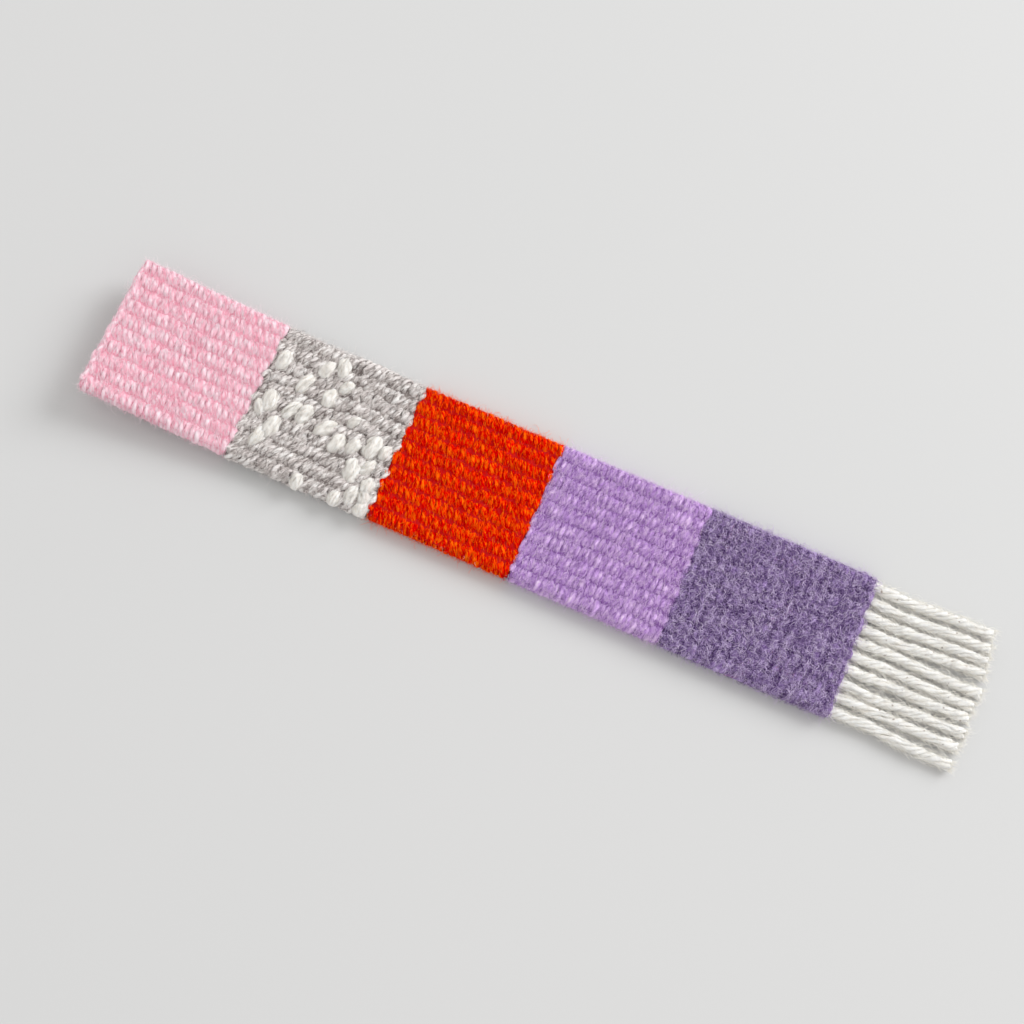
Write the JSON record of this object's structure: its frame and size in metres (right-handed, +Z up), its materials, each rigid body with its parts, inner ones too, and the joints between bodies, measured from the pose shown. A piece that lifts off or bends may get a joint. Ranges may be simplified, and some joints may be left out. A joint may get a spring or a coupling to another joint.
{
  "type": "woven strip",
  "caption": "Narrow hand-woven wool strip in blocks of colour, with thick nubs in one block, a gentle curl at one end and a cotton cord fringe at the other.",
  "frame": {"origin": "middle of the strip's box, on the surface that it lies on", "axes": "+X along the strip towards the fringe, +Y across the strip, +Z up out of its upper face"},
  "size_m": [0.1885, 0.0302, 0.0085],
  "materials": {
    "pink_wool": "matte, softly hairy wool",
    "slub_yarn": "matte marled wool with off-white nubs",
    "red_wool": "matte, slightly lustrous wool",
    "lavender_wool": "matte, softly hairy wool",
    "heather_wool": "matte, hairy flecked wool",
    "cotton_cord": "matte plied cotton"
  },
  "bodies": {
    "root": {"weft_pink": "pink_wool", "weft_slub": "slub_yarn", "weft_red": "red_wool", "weft_lavender": "lavender_wool", "weft_heather": "heather_wool", "warp_cord_1": "cotton_cord", "warp_cord_2": "cotton_cord", "warp_cord_3": "cotton_cord", "warp_cord_4": "cotton_cord", "warp_cord_5": "cotton_cord"}
  },
  "joints": []
}
